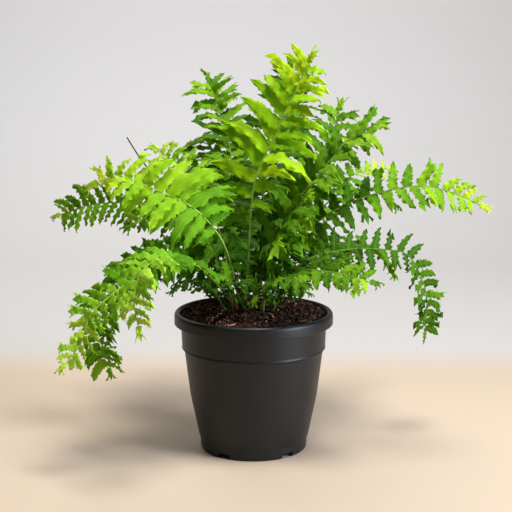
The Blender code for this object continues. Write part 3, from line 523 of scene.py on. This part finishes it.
# Each frond: its rib's route in millimetres from the soil to the tip, its largest leaflet and the
# pairs of leaflets, and what isn't as usual: the bare share of the rib, how far its face turns to
# the front, the share of the rib up to which its leaflets stay full, how much of that is left at
# the tip, how many degrees the upper row leans forwards, their share of the arch and of the
# forks, and the colour
usualFrond = dict(bare=0.1, turn=0, full=0.5, tip=0.45, lean=0, arch=1, forks=1, tint="leaf")
fronds = {
    "frond_crown": dict(
        route=((-8, -4, 155), (-4, -16, 240), (2, -25, 295), (20, -30, 335), (37, -38, 375),
               (56, -47, 414)),
        leaf=(62, 14), pairs=12, bare=0.4, turn=86, full=0.4, tip=0.36, forks=0.4, tint="lime"),
    "frond_right_tall": dict(
        route=((4, 2, 155), (14, -16, 218), (34, -30, 261), (58, -40, 290), (78, -46, 316), (97, -50, 337),
               (121, -55, 347)),
        leaf=(44, 13), pairs=15, bare=0.12, turn=50, tip=0.6, lean=25),
    "frond_left_front": dict(
        route=((-14, -10, 155), (-28, -42, 223), (-46, -60, 255), (-66, -70, 274), (-100, -80, 291),
               (-132, -84, 304), (-154, -84, 296)),
        leaf=(52, 13), pairs=12, bare=0.42, turn=80, full=0.4, tip=0.26, lean=-45, forks=0.3, tint="lime_with_painted_shade"),
    "frond_right_long": dict(
        route=((14, -4, 155), (39, -22, 219), (69, -34, 253), (105, -44, 275), (161, -54, 290),
               (198, -60, 285), (228, -64, 272)),
        leaf=(30, 11), pairs=17, turn=60, full=0.75, tip=0.36, arch=0.5, tint="tipped"),
    "frond_left_low": dict(
        route=((-32, -8, 155), (-54, -32, 200), (-91, -62, 214), (-124, -84, 198), (-160, -100, 169),
               (-170, -107, 141), (-186, -112, 120)),
        leaf=(29, 10), pairs=19, turn=50, full=0.6, tip=0.5, tint="turning"),
    "frond_left_hanging": dict(
        route=((-36, 8, 155), (-68, 0, 204), (-108, -18, 207), (-140, -32, 180), (-161, -42, 146),
               (-160, -46, 123), (-151, -50, 98)),
        leaf=(28, 10), pairs=18, turn=55, full=0.7, tip=1),
    "frond_front_left": dict(
        route=((-16, -24, 155), (-52, -78, 210), (-84, -118, 228), (-106, -145, 219), (-112, -158, 194),
               (-108, -165, 170)),
        leaf=(32, 10), pairs=15, turn=10, full=0.6, tip=0.5, tint="turning"),
    "frond_left_long": dict(
        route=((-26, 4, 155), (-57, 10, 225), (-95, 18, 252), (-136, 28, 262), (-178, 36, 259),
               (-212, 41, 247)),
        leaf=(28, 8.5), pairs=18, bare=0.2, turn=65, full=0.88, tip=0.35, arch=0.6, forks=0.3,
        tint="ending"),
    "frond_right_arch": dict(
        route=((24, 8, 155), (55, 12, 201), (101, 18, 213), (142, 24, 212), (170, 28, 203), (189, 32, 162),
               (189, 34, 117)),
        leaf=(25, 10), pairs=18, turn=65, full=0.55, tip=0.9, arch=0.5, tint="deep"),
    "frond_tall_left": dict(
        route=((-16, 26, 155), (-22, 48, 262), (-27, 66, 324), (-40, 78, 364), (-49, 84, 390)),
        leaf=(43, 9), pairs=25, bare=0.16, full=0.75, tip=0.6, forks=0.5),
    "frond_right_low": dict(
        route=((22, -16, 155), (42, -44, 199), (80, -72, 205), (102, -86, 202), (116, -93, 199)),
        leaf=(29, 11), pairs=10, bare=0.08, turn=35, full=0.6, tip=0.5),
    "frond_left_middle": dict(
        route=((-20, -16, 155), (-42, -24, 218), (-67, -36, 247), (-97, -48, 263), (-120, -58, 252)),
        leaf=(40, 11), pairs=12, bare=0.12, turn=30, tip=0.4),
    "frond_crown_back": dict(
        route=((0, 20, 155), (10, 28, 265), (23, 34, 340), (36, 40, 380), (39, 43, 402)),
        leaf=(42, 12), pairs=14, turn=60, tint="deep"),
    "frond_right_back": dict(
        route=((16, 18, 155), (51, 44, 239), (106, 74, 285), (136, 86, 292), (150, 91, 293)),
        leaf=(32, 10), pairs=15, turn=40, tip=0.4, tint="tipped"),
    "frond_right_tall_back": dict(
        route=((8, 30, 155), (35, 50, 246), (72, 72, 307), (89, 83, 339), (95, 88, 359)),
        leaf=(42, 12.5), pairs=14, turn=35, tip=0.65),
    "frond_left_back": dict(
        route=((-10, 32, 155), (-26, 56, 245), (-40, 78, 304), (-56, 94, 322), (-82, 115, 313)),
        leaf=(42, 11), pairs=14, turn=30),
    "frond_left_lime": dict(
        route=((-22, -2, 155), (-33, -4, 225), (-53, -6, 277), (-78, 0, 306), (-101, 10, 320)),
        leaf=(40, 11.5), pairs=17, turn=75, full=0.4, tip=0.38, lean=-20, tint="turning"),
    "frond_centre_right": dict(
        route=((12, -15, 155), (18, -31, 215), (31, -43, 252), (50, -53, 275)),
        leaf=(50, 15), pairs=9, bare=0.26, turn=70, full=0.6, tip=0.6, forks=2),
    "frond_centre_left": dict(
        route=((-9, -27, 155), (-16, -42, 182), (-26, -56, 196), (-39, -66, 202)),
        leaf=(26, 10.5), pairs=7, bare=0.12, turn=30, tip=0.5, tint="deep"),
    "frond_front_short": dict(
        route=((6, -26, 155), (16, -50, 186), (32, -74, 200), (48, -92, 196)),
        leaf=(28, 11), pairs=7, bare=0.06, turn=20, tip=0.5, tint="deep"),
    "frond_back_right": dict(
        route=((6, 40, 155), (20, 75, 235), (35, 120, 280), (48, 170, 284), (58, 205, 264)),
        leaf=(40, 13), pairs=13, bare=0.06),
    "frond_back_left": dict(
        route=((-4, 44, 155), (-25, 82, 235), (-45, 130, 272), (-60, 180, 268), (-70, 215, 240)),
        leaf=(40, 13), pairs=13, bare=0.06),
    "frond_back_far_right": dict(
        route=((21, 27, 155), (56, 68, 225), (98, 112, 262), (140, 148, 262), (165, 168, 244)),
        leaf=(38, 12), pairs=13, bare=0.06, turn=15, tint="deep"),
    "frond_back_far_left": dict(
        route=((-27, 31, 155), (-54, 72, 222), (-90, 110, 252), (-122, 140, 248), (-144, 160, 226)),
        leaf=(38, 12), pairs=12, bare=0.06, turn=15, tint="deep"),
    "frond_side_left": dict(
        route=((-32, 22, 155), (-64, 48, 200), (-96, 76, 214), (-122, 98, 200)),
        leaf=(34, 12), pairs=10, bare=0.04, turn=10),
    "frond_side_right": dict(
        route=((28, 18, 155), (66, 38, 200), (106, 62, 214), (138, 80, 200), (156, 90, 176)),
        leaf=(34, 12), pairs=12, bare=0.04, turn=10),
    "frond_back_low": dict(
        route=((-1, 31, 155), (3, 80, 192), (6, 125, 205), (8, 165, 188), (10, 188, 158)),
        leaf=(32, 12), pairs=12, bare=0.04),
    "frond_back_low_right": dict(
        route=((18, 40, 155), (46, 76, 186), (78, 114, 198), (104, 142, 180), (116, 156, 152)),
        leaf=(30, 11), pairs=11, bare=0.04, tint="deep"),
    "frond_back_low_left": dict(
        route=((-19, 41, 155), (-42, 80, 186), (-66, 118, 195), (-86, 146, 176)),
        leaf=(30, 11), pairs=10, bare=0.04, tint="deep"),
    "frond_young_left": dict(
        route=((-28, -31, 155), (-44, -53, 186), (-62, -71, 196), (-78, -84, 189)),
        leaf=(22, 9), pairs=6, bare=0.08, full=0.6, tip=0.5, tint="shaded"),
    "frond_young_front": dict(
        route=((10, -35, 155), (11, -44, 176), (8, -54, 185), (3, -63, 178)),
        leaf=(30, 11), pairs=2, bare=0.4, turn=30, full=0.8, tip=0.8, tint="shaded"),
    "frond_young_right": dict(
        route=((19, -31, 155), (31, -52, 181), (44, -66, 189), (54, -76, 185)),
        leaf=(19, 8), pairs=5, bare=0.12, full=0.6, tip=0.5, tint="shaded"),
    "bare_stalk": dict(
        route=((-17, 10, 155), (-58, 26, 242), (-94, 34, 280), (-118, 38, 303), (-137, 42, 332)),
        leaf=(0, 0), pairs=0, bare=1, tip=0.5, tint="stalk"),
}

# The skin of every leaf: sizes in millimetres, the rest as shares
leafSkin = dict(
    mottleSize=12, mottle=0.24, fineSize=1.2,
    youngest=-0.16,  # where the shades start, before its age, its own draw and the mottle are added
    edge=0.10, veins=14, veinSlant=-0.16, veinShare=0.20, ribShare=0.28, ribWidth=(0.12, 0.04),
)

# Each leaf colour: how far the leaflets' shades vary, how far and how late they pale towards the
# frond's tip, the rib's colour, and the blade's from its darkest shade to its palest
tints = {
    # the crown's young lime and painted light: its stops are brighter than the young leaf alone, for
    # leaflets turned to the front that catch little of the lamps
    "lime": dict(
        slot="lime_leaf", name="young fern leaf", varies=0.26, pales=0.34, turns=1.0,
        rib="#B8D06A", stops=[(0.05, "#4A980E"), (0.24, "#80C012"), (0.46, "#B0DA18"), (1.0, "#D6EC2A")]),
    # a darker copy of the lime, its stops painting shade onto the front left frond, whose leaflets lie flat
    # under the light from above
    "lime_with_painted_shade": dict(
        slot="lime_leaf", name="young fern leaf in full light", varies=0.28, pales=0.76, turns=2.0,
        rib="#A8C45E", stops=[(0.05, "#40800E"), (0.36, "#629C10"), (0.66, "#8CBA16"), (1.0, "#C2DC2C")]),
    "turning": dict(
        slot="lime_leaf", name="leaf that pales to its tip", varies=0.30, pales=0.86, turns=1.5,
        rib="#A8C25C", stops=[(0.05, "#1C5006"), (0.40, "#4C880C"), (0.68, "#80B822"), (1.0, "#B8DC46")]),
    "tipped": dict(
        slot="lime_leaf", name="grown leaf with a young tip", varies=0.34, pales=0.86, turns=4.0,
        rib="#7CA03C", stops=[(0.05, "#2C5A07"), (0.34, "#568C0D"), (0.70, "#8CBA1A"), (1.0, "#C2DC30")]),
    "leaf": dict(
        slot="green_leaf", name="grown fern leaf", varies=0.46, pales=0.56, turns=1.0,
        rib="#84A648", stops=[(0.05, "#163C04"), (0.40, "#356606"), (0.75, "#609210"), (1.0, "#94BC22")]),
    "ending": dict(
        slot="green_leaf", name="grown leaf, young at its end", varies=0.40, pales=0.70, turns=5.0,
        rib="#648A30", stops=[(0.05, "#1C4405"), (0.36, "#3C6C08"), (0.72, "#6E9C14"), (1.0, "#A6C228")]),
    "deep": dict(
        slot="deep_leaf", name="old fern leaf", varies=0.46, pales=0.52, turns=1.0,
        rib="#5E862E", stops=[(0.05, "#102E04"), (0.45, "#285006"), (0.80, "#467608"), (1.0, "#769E16")]),
    "shaded": dict(
        slot="green_leaf", name="low leaf in the shade", varies=0.40, pales=0.16, turns=1.0,
        rib="#648A30", stops=[(0.05, "#143604"), (0.40, "#305C06"), (0.75, "#4E7C0C"), (1.0, "#7CA41C")]),
    "stalk": dict(
        slot="dry_stalk", name="bare fern stalk", varies=0.34, pales=0.42, turns=1.0,
        rib="#5A5A20", stops=[(0.05, "#2A3A10"), (0.50, "#364A14"), (1.0, "#4E5E1E")]),
}


def leafMaterial(tint):
    # a thin waxed skin: a soft satin shine, light that glows through the blade, a pale midrib
    # with side veins, and colour that pales from a frond's foot to its tip
    material, tree, shader = newMaterial(tint["name"], {
        "Roughness": 0.46, "IOR": 1.42, "Specular IOR Level": 0.07, "Subsurface Weight": 0.20,
        "Subsurface Radius": (0.45, 1.0, 0.12), "Subsurface Scale": 1.6 * mm})
    tone = addNode(tree, "VertexColor", {"layer_name": "tone"})
    split = addNode(tree, "SeparateColor", None, {0: tone})
    spot = addNode(tree, "UVMap", {"uv_map": "blade"})
    spotParts = addNode(tree, "SeparateXYZ", None, {0: spot})
    place = addNode(tree, "TexCoord").outputs["Object"]
    mottle = addNode(tree, "TexNoise", {"Scale": 1 / (leafSkin["mottleSize"] * mm), "Detail": 3.0},
                     {"Vector": place})
    fromRib = addNode(tree, "Math", {"operation": "MULTIPLY_ADD", 1: 2.0, 2: -1.0},
                      {0: spotParts.outputs["Y"]})
    ribSpan = addNode(tree, "Math", {"operation": "ABSOLUTE"}, {0: fromRib})
    # the leaflet's shade, from its own draw, its age and a mottle
    age = addNode(tree, "Math", {"operation": "POWER", 1: tint["turns"]}, {0: split.outputs["Green"]})
    shade = addNode(tree, "Value")
    shade.outputs[0].default_value = leafSkin["youngest"]
    terms = ((age, tint["pales"]), (split, tint["varies"]), (mottle, leafSkin["mottle"]),
             (ribSpan, leafSkin["edge"]))
    for source, share in terms:
        shade = addNode(tree, "Math", {"operation": "MULTIPLY_ADD", 1: share}, {0: source, 2: shade})
    blade = addNode(tree, "ValToRGB", {"stops": tint["stops"]}, {"Fac": shade})
    # side veins run out and forwards from the midrib
    slant = addNode(tree, "Math", {"operation": "MULTIPLY_ADD", 1: leafSkin["veinSlant"]},
                    {0: ribSpan, 2: spotParts})
    waves = addNode(tree, "Math", {"operation": "MULTIPLY", 1: leafSkin["veins"] * math.tau}, {0: slant})
    crest = addNode(tree, "Math", {"operation": "COSINE"}, {0: waves})
    veins = addNode(tree, "MapRange", {
        "From Min": 0.55, "From Max": 1.0, "To Max": leafSkin["veinShare"]}, {"Value": crest})
    ribFrom, ribFull = leafSkin["ribWidth"]
    midrib = addNode(tree, "MapRange", {
        "From Min": ribFrom, "From Max": ribFull, "To Max": leafSkin["ribShare"]}, {"Value": ribSpan})
    pale = addNode(tree, "Math", {"operation": "MAXIMUM"}, {0: veins, 1: midrib})
    veined = addNode(tree, "Mix", {"data_type": "RGBA", 7: hexColour("#9CC244")}, {0: pale, 6: blade})
    stalkColour = addNode(tree, "ValToRGB", {"stops": [
        (0.0, "#2E2A10"), (0.10, "#76883A"), (0.30, tint["rib"]), (1.0, tint["rib"])]},
        {"Fac": split.outputs["Green"]})
    colour = addNode(tree, "Mix", {"data_type": "RGBA"},
                     {0: split.outputs["Blue"], 6: veined.outputs[2], 7: stalkColour})
    tree.links.new(colour.outputs[2], shader.inputs["Base Color"])
    fine = addNode(tree, "TexNoise", {"Scale": 1 / (leafSkin["fineSize"] * mm), "Detail": 2.0},
                   {"Vector": place})
    dips = addNode(tree, "Math", {"operation": "MULTIPLY_ADD", 1: -1.0}, {0: pale, 2: fine})
    bump = addNode(tree, "Bump", {"Strength": 0.7, "Distance": 0.5 * mm}, {"Height": dips})
    tree.links.new(bump.outputs["Normal"], shader.inputs["Normal"])
    return material


def splinePoint(points, share):
    # smooth curve through all the route's points
    spans = len(points) - 1
    span = min(int(share * spans), spans - 1)
    t = share * spans - span
    p1, p2 = points[span], points[span + 1]
    p0 = points[span - 1] if span else p1 * 2 - p2
    p3 = points[span + 2] if span + 2 <= spans else p2 * 2 - p1
    return 0.5 * (2 * p1 + (p2 - p0) * t + (2 * p0 - 5 * p1 + 4 * p2 - p3) * t ** 2
                  + (3 * p1 - p0 - 3 * p2 + p3) * t ** 3)


class Rib:
    # a frond's stalk and midrib: the curve through its route, and a frame at each leaflet's foot
    def __init__(self, name, entry):
        self.name = name
        self.entry = entry
        route = [Vector(point) * mm for point in entry["route"]]
        steps = leaf["splineSteps"]
        self.fine = [splinePoint(route, step / steps) for step in range(steps + 1)]
        self.reach = [0.0]
        for one, two in zip(self.fine, self.fine[1:]):
            self.reach.append(self.reach[-1] + (two - one).length)
        self.length = self.reach[-1]
        self.start = (self.fine[leaf["startSteps"]] - self.fine[0]).normalized()
        heading = Vector((route[-1].x - route[0].x, route[-1].y - route[0].y, 0)).normalized()
        self.right = Vector((heading.y, -heading.x, 0))
        self.turn = math.radians(entry["turn"]) * (1 if self.right.y < 0 else -1)
        self.pairs = entry["pairs"]
        self.leafyFrom = entry["bare"] * self.length
        rows = max(1, round(self.leafyFrom / (leaf["stalkStep"] * mm)))
        self.stations = [-leaf["rootDepth"] * mm]
        self.stations += [self.leafyFrom * row / rows for row in range(rows + 1)]
        self.firstLeaflet = len(self.stations) - 1
        if self.pairs:
            leafy = self.length - leaf["tipNeck"] * mm - self.leafyFrom
            shares = [(row + 1) / (2 * self.pairs) for row in range(2 * self.pairs)]
            closed = [share + leaf["closing"] * share * (1 - share) for share in shares]
            self.stations += [self.leafyFrom + leafy * share for share in closed]
            self.stations += [self.length]
        self.frames = [self.frameAt(station) for station in self.stations]

    def pointAt(self, along):
        if along <= 0:
            return self.fine[0] + self.start * along
        for index in range(1, len(self.reach)):
            if self.reach[index] >= along - 1e-9:
                share = (along - self.reach[index - 1]) / (self.reach[index] - self.reach[index - 1])
                return self.fine[index - 1].lerp(self.fine[index], share)
        return self.fine[-1]

    def frameAt(self, along):
        step = leaf["tangentStep"] * mm
        ahead = (self.pointAt(min(along + step, self.length)) - self.pointAt(along - step)).normalized()
        side = (self.right - ahead * self.right.dot(ahead)).normalized()
        side = Matrix.Rotation(self.turn, 3, ahead) @ side
        return self.pointAt(along), ahead, side, side.cross(ahead)

    def leafletSize(self, along):
        share = (along - self.leafyFrom) / (self.length - self.leafyFrom)
        full = self.entry["full"]
        lost = (1 - self.entry["tip"]) * max(0.0, (share - full) / (1 - full)) ** leaf["tipPower"]
        grown = min(1.0, leaf["footShare"] + leaf["footGain"] * share) * (1 - lost)
        length, width = self.entry["leaf"]
        return length * mm * grown, width * mm * (leaf["widthLeft"] + (1 - leaf["widthLeft"]) * grown)


class Slab:
    # a slightly thicker copy of a piece, to test that others stay clear of it
    def __init__(self, verts, faces):
        self.tree = BVHTree.FromPolygons(verts, faces)
        self.centre = sum(verts, Vector()) / len(verts)
        self.radius = max((vert - self.centre).length for vert in verts)

    def meets(self, other):
        if (self.centre - other.centre).length > self.radius + other.radius:
            return False
        return bool(self.tree.overlap(other.tree))


def leafletSlab(place, outline):
    corners = place["corners"]
    middle = sum(corners, Vector()) / len(corners)
    foot = [point.lerp(middle, leaf["footInset"]) for point in place["base"]]
    ring = [middle + (corner - middle) * leaf["testGrowth"] for corner in corners]
    ring = [foot[0]] + ring + [foot[1]]
    count = len(ring)
    footLift = place["normal"] * (leaf["stalkRadius"] + leaf["footRoom"]) * mm
    lifts = [footLift] + [lift * leaf["clearance"] * mm for lift in place["lifts"]] + [footLift]
    verts = [point + lift for point, lift in zip(ring, lifts)]
    verts += [point - lift for point, lift in zip(ring, lifts)]
    order = [(fanCorner[outline] + 1 + step) % count for step in range(count)]
    faces = [(order[0], order[step], order[step + 1]) for step in range(1, count - 1)]
    faces += [(c + count, b + count, a + count) for a, b, c in list(faces)]
    for index in range(count):
        after = (index + 1) % count
        faces.append((index, index + count, after + count, after))
    return Slab(verts, faces)


def ribSlabs(rib):
    boxCorners = ((1, 1), (-1, 1), (-1, -1), (1, -1))
    half = (leaf["stalkRadius"] + leaf["stalkRoom"]) * mm
    slabs = []
    for first in range(0, len(rib.frames) - 1, leaf["slabRows"]):
        rings = rib.frames[first:first + leaf["slabRows"] + 1]
        verts = []
        faces = []
        for centre, ahead, right, up in rings:
            verts += [centre + (right * x + up * y) * half for x, y in boxCorners]
        for ring in range(len(rings) - 1):
            for corner in range(4):
                here = ring * 4 + corner
                beside = ring * 4 + (corner + 1) % 4
                faces.append((here, beside, beside + 4, here + 4))
        slabs.append(Slab(verts, faces))
    return slabs


def placeLeaflet(rib, index, side, chance, give):
    # where a leaflet lies and which way it faces, side 1 to the right of the rib and -1 to its left
    raised, twisted, shortened = give
    centre, ahead, right, up = rib.frames[index]
    following = rib.frames[index + 1][0]
    length, width = rib.leafletSize(rib.stations[index])
    length *= shortened * chance["length"]
    lean = chance["lean"] + leaf["leanGain"] * rib.stations[index] / rib.length
    if side * right.z > 0:
        lean += rib.entry["lean"]
    lean = math.radians(lean)
    raiseBy = math.radians(chance["raised"] + raised)
    out = (right * side * math.cos(lean) + ahead * math.sin(lean)).normalized()
    out = (out * math.cos(raiseBy) + up * math.sin(raiseBy)).normalized()
    across = (ahead - out * ahead.dot(out)).normalized()
    normal = across.cross(out) * side
    if normal.dot(up) < 0:
        normal = -normal
    twist = Matrix.Rotation(math.radians(chance["twist"] + twisted) * side, 3, out)
    place = dict(root=(centre + following) / 2, base=(centre, following), length=length, width=width,
                 age=rib.stations[index] / rib.length, arch=rib.entry["arch"])
    archOver(place, out, twist @ across, twist @ normal, chance)
    return place


def archOver(place, out, across, normal, chance):
    # its weight bends the leaflet over along an arc that starts a little high
    down = Vector((0, 0, -1))
    sag = (down - out * out.dot(down)) * leaf["ownWeight"] - normal * leaf["faceWeight"]
    sag += across * chance["sway"]
    sag.normalize()
    bend = math.radians(chance["bend"] * place["arch"])
    start = Matrix.Rotation(-bend * leaf["startHigh"], 3, out.cross(sag))
    place.update(out=start @ out, sag=start @ sag, across=start @ across, normal=start @ normal, bend=bend)
    place["axis"] = place["out"].cross(place["sag"])
    place["corners"] = []
    place["lifts"] = []
    for along, wide in chance["outline"]:
        middle, side, lift = bentFrame(place, along)
        place["corners"].append(middle + side * wide * place["width"])
        place["lifts"].append(lift)


def bentFrame(place, along):
    # middle, side and upward direction of an arching leaflet at a share of its length
    angle = place["bend"] * along
    reach = place["length"] / place["bend"]
    middle = place["root"] + place["out"] * reach * math.sin(angle)
    middle += place["sag"] * reach * (1 - math.cos(angle))
    turn = Matrix.Rotation(angle, 3, place["axis"])
    return middle, turn @ place["across"], turn @ place["normal"]


def leafletChance(draw, age=0.5, forks=1):
    forkedShare = forks * (leaf["forkedShare"] + leaf["forkedGain"] * age)
    chance = {key: draw.uniform(*span) for key, span in placeChances.items()}
    chance["outline"] = forkedOutline if draw.random() < forkedShare else bluntOutline
    chance["tone"] = draw.random()
    chance.update({key: draw.uniform(*span) for key, span in bladeChances.items()})
    chance["period"] = draw.choice((1.0, -1.0))
    chance["tooth"] = draw.uniform(*toothDepth)
    chance["teeth"] = [draw.uniform(*toothShare) for row in range(leaf["alongSteps"] + 1)]
    return chance


bladeForm = dict(
    full=0.12,  # its half width grows up to this share of its length, and its waves and fold too
    footHalf=0.34, halfGain=0.16,
    fanFrom=0.55, waist=0.20, droop=0.05,  # of a forked one
    bluntPower=0.8,  # how round a blunt one's end is
    margin=0.9, toothReach=0.015,
    ear=0.14, backEar=0.3, earFrom=0.02, earFull=0.08, earEnd=0.24,
    hookPower=2.2, wavePower=2.4, waveLag=2.1, fold=0.34, foldBack=0.38,
)


def bladeSpot(u, v, place, chance):
    # a spot of the leaflet's upper skin: u runs 0 to 1 along it, v -1 to 1 across it
    width = place["width"]
    rise = smoothStep(0.0, bladeForm["full"], u)
    half = bladeForm["footHalf"] + bladeForm["halfGain"] * rise
    along = u
    if chance["outline"] is forkedOutline:
        fan = smoothStep(bladeForm["fanFrom"], 1.0, u)
        half *= (1 - bladeForm["waist"] * math.sin(math.pi * u)) * (1 + (chance["spread"] - 1) * fan)
        beat = math.cos(math.tau * v / chance["period"])
        notch = chance["fork"] * (0.5 + 0.5 * (beat if chance["period"] > 0 else -beat))
        along = u - fan * (notch + chance["slant"] * v + bladeForm["droop"] * v * v)
    else:
        half *= max(0.0, 1 - u ** chance["taper"]) ** bladeForm["bluntPower"]
    # teeth along both margins, and the ear at the foot of the forward one
    onMargin = abs(v) > bladeForm["margin"]
    row = round(u * leaf["alongSteps"])
    isTooth = (row + (0 if v > 0 else 1)) % 2
    depth = chance["tooth"] * chance["teeth"][row] * leaf["toothWidth"] * mm / width
    tooth = depth * (1 if isTooth else -1) if onMargin else 0.0
    ear = bladeForm["ear"] * smoothStep(bladeForm["earFrom"], bladeForm["earFull"], u)
    ear *= 1 - smoothStep(bladeForm["earFull"], bladeForm["earEnd"], u)
    half = half * (1 + tooth * rise * 2) + (ear if v > 0 else bladeForm["backEar"] * ear)
    along += bladeForm["toothReach"] * (isTooth if onMargin else 0) * (1 - u)
    sideways = v * half * width + chance["hook"] * width * u ** bladeForm["hookPower"]
    # waved margins, a folded midrib and a twist that grows towards the tip
    wave = math.tau * chance["waves"] * u + chance["phase"] + (bladeForm["waveLag"] if v > 0 else 0)
    lift = width * rise * (chance["ripple"] * abs(v) ** bladeForm["wavePower"] * math.sin(wave)
                           + bladeForm["fold"] * abs(v) - bladeForm["foldBack"] * v * v)
    curl = math.radians(chance["curl"]) * u
    middle, side, upward = bentFrame(place, along)
    return (middle + side * (sideways * math.cos(curl) - lift * math.sin(curl))
            + upward * (sideways * math.sin(curl) + lift * math.cos(curl)))


def growBlade(bm, layers, place, chance, steps, wide):
    made = bmesh.ops.create_grid(bm, x_segments=steps, y_segments=wide, size=0.5)
    if place["out"].cross(place["across"]).dot(place["normal"]) < 0:
        faces = {face for vert in made["verts"] for face in vert.link_faces}
        bmesh.ops.reverse_faces(bm, faces=list(faces))
    for vert in made["verts"]:
        u = vert.co.x + 0.5
        v = vert.co.y * 2
        vert[layers["spotU"]] = u
        vert[layers["spotV"]] = v * 0.5 + 0.5
        vert[layers["tone"]] = (chance["tone"], place["age"], 0.0, 1.0)
        vert.co = bladeSpot(u, v, place, chance)


def thicken(bm):
    # gives the open blades their under side, set off along the normals, and closes their edges
    under = bm.verts.layers.float_vector.new("under")
    bm.normal_update()
    for vert in bm.verts:
        vert[under] = vert.normal * -leaf["thickness"] * mm
    made = bmesh.ops.extrude_face_region(bm, geom=bm.faces[:], use_keep_orig=True)
    for item in made["geom"]:
        if isinstance(item, bmesh.types.BMVert):
            item.co += item[under]
    bmesh.ops.recalc_face_normals(bm, faces=bm.faces)
    bm.verts.layers.float_vector.remove(under)


def growRib(bm, layers, rib):
    # rings of corners round its line, each joined to the one before
    turns = [math.tau * number / leaf["stalkSides"] for number in range(leaf["stalkSides"])]
    ringSpots = [(math.sin(turn), math.cos(turn)) for turn in turns]
    ringSpots[0] = (0, leaf["ribTop"])
    thin = leaf["tipRadius"] if rib.pairs else leaf["bareRadius"]
    before = None
    for (centre, ahead, right, up), station in zip(rib.frames, rib.stations):
        share = max(0.0, station) / rib.length
        radius = (leaf["stalkRadius"] + (thin - leaf["stalkRadius"]) * share ** leaf["ribPower"]) * mm
        ring = [bm.verts.new(centre + (right * wide + up * high) * radius) for wide, high in ringSpots]
        for vert in ring:
            vert[layers["spotU"]] = share
            vert[layers["spotV"]] = 0.9  # clear of a blade's pale midrib
            vert[layers["tone"]] = (0.5, share, 1.0, 1.0)
        if before:
            for number in range(len(ring)):
                bm.faces.new((before[number - 1], before[number], ring[number], ring[number - 1]))
        else:
            bm.faces.new(ring)
        before = ring
    bm.faces.new(before)


def layBlade(faces, layers):
    for face in faces:
        for loop in face.loops:
            loop[layers["blade"]].uv = (loop.vert[layers["spotU"]], loop.vert[layers["spotV"]])


def makeFrond(rib, taken, draw):
    bm = bmesh.new()
    # tone holds a leaflet's own draw, its age, and 1 where it is the rib
    layers = {"spotU": bm.verts.layers.float.new("spotU"), "spotV": bm.verts.layers.float.new("spotV"),
              "tone": bm.verts.layers.float_color.new("tone"), "blade": bm.loops.layers.uv.new("blade")}
    others = [slab for owner, slab in taken if owner != rib.name + " rib"]
    for index in range(rib.firstLeaflet, rib.firstLeaflet + 2 * rib.pairs):
        side = 1 if index % 2 else -1
        chance = leafletChance(draw, rib.stations[index] / rib.length, rib.entry["forks"])
        for give in giveWay:
            place = placeLeaflet(rib, index, side, chance, give)
            slab = leafletSlab(place, chance["outline"])
            if any(slab.meets(other) for other in others):
                continue
            growBlade(bm, layers, place, chance, leaf["alongSteps"], leaf["acrossSteps"])
            others.append(slab)
            taken.append((rib.name, slab))
            break
    if rib.pairs:
        centre, ahead, right, up = rib.frames[-1]
        chance = leafletChance(draw)
        chance.update(outline=forkedOutline, spread=leaf["tipSpread"], fork=leaf["tipFork"], period=-1.0,
                      hook=0.0)
        length = min(leaf["tipLength"], rib.entry["leaf"][0] * leaf["tipShare"]) * mm
        place = dict(root=centre - ahead * mm, length=length, width=length * leaf["tipWidth"],
                     age=1.0, arch=1)
        archOver(place, ahead, -right, up, chance)
        growBlade(bm, layers, place, chance, leaf["alongSteps"], leaf["tipAcross"])
    layBlade(bm.faces, layers)
    thicken(bm)
    before = set(bm.faces)
    growRib(bm, layers, rib)
    ribFaces = [face for face in bm.faces if face not in before]
    layBlade(ribFaces, layers)
    bmesh.ops.recalc_face_normals(bm, faces=ribFaces)
    tint = rib.entry["tint"]
    piece = addPiece(bm, rib.name + "_leaf", leafMaterials[tint], sharpAngle=60)
    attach(piece, body)
    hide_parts(rib.name)


leafMaterials = {key: leafMaterial(tint) for key, tint in tints.items()}
ribs = [Rib(name, {**usualFrond, **entry}) for name, entry in fronds.items()]
taken = []
for node in ("pot", "soil"):
    solid = bpy.data.objects[node]
    corners = [vert.co.copy() for vert in solid.data.vertices]
    taken.append((node, Slab(corners, [tuple(face.vertices) for face in solid.data.polygons])))
for rib in ribs:
    taken += [(rib.name + " rib", slab) for slab in ribSlabs(rib)]
draw = random.Random(leaf["seed"])
for rib in ribs:
    makeFrond(rib, taken, draw)
print("fronds grown:", len(ribs), "leaflets:", sum(owner in fronds for owner, slab in taken))
